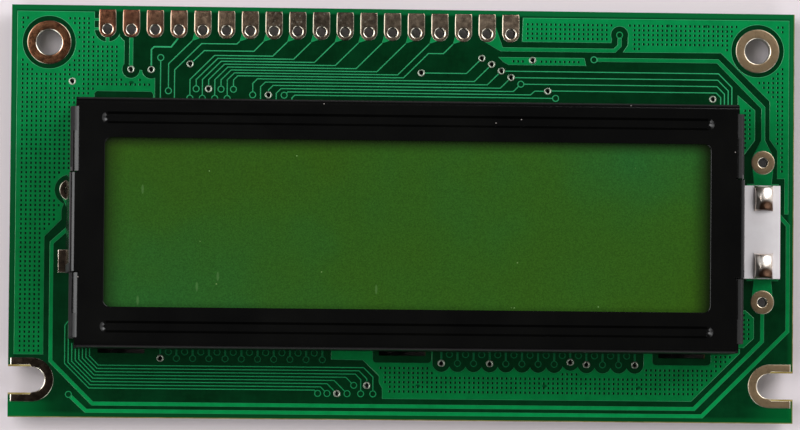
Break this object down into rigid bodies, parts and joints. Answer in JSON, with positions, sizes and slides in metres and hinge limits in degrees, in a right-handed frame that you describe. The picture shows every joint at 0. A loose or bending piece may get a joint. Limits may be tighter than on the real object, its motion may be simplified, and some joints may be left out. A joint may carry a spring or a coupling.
{
  "type": "graphic lcd module",
  "caption": "Graphic display module: green circuit board with a pin row, a black folded bezel around a lit yellow-green glass window, and corner holes and open edge slots.",
  "frame": {"origin": "centre of the board outline, at the resting plane under the two chip drops on the back", "axes": "+X along the board's length to the backlight tail, +Y toward the pin row, +Z out of the display window"},
  "size_m": [0.084, 0.044, 0.0122],
  "materials": {
    "solder_mask": "green coated glass-fibre board",
    "masked_copper": "copper under green coating",
    "tinned_pads": "dull tinned copper",
    "bright_tin": "bright tin",
    "black_steel": "satin black paint on sheet steel",
    "polarizer": "satin film, yellow-green",
    "cell_glass": "clear float glass",
    "diffuser": "milky acrylic",
    "white_plastic": "white moulded frame",
    "led_resin": "clear yellow resin",
    "white_mask": "white coated board",
    "solder": "bright solder",
    "contact_rubber": "layered silicone",
    "black_resin": "satin black epoxy",
    "resistor_body": "black glazed top",
    "capacitor_body": "tan ceramic"
  },
  "bodies": {
    "root": {"pcb": "solder_mask", "interface_pads": "tinned_pads", "mounting_rings": "tinned_pads", "slot_pads": "tinned_pads", "supply_pads": "tinned_pads", "spare_pads": "tinned_pads", "via_rings": "bright_tin", "signal_tracks": "masked_copper", "supply_tracks": "masked_copper", "ground_pour": "masked_copper", "bezel": "black_steel", "front_polarizer": "polarizer", "front_glass": "cell_glass", "rear_glass": "cell_glass", "rear_polarizer": "polarizer", "diffuser": "diffuser", "backlight_frame": "white_plastic", "led_chips": "led_resin", "backlight_board": "white_mask", "backlight_joints": "solder", "zebra_top": "contact_rubber", "zebra_bottom": "contact_rubber", "driver_drop_left": "black_resin", "driver_drop_right": "black_resin", "chip_resistors": "resistor_body", "chip_capacitors": "capacitor_body"}
  },
  "joints": []
}
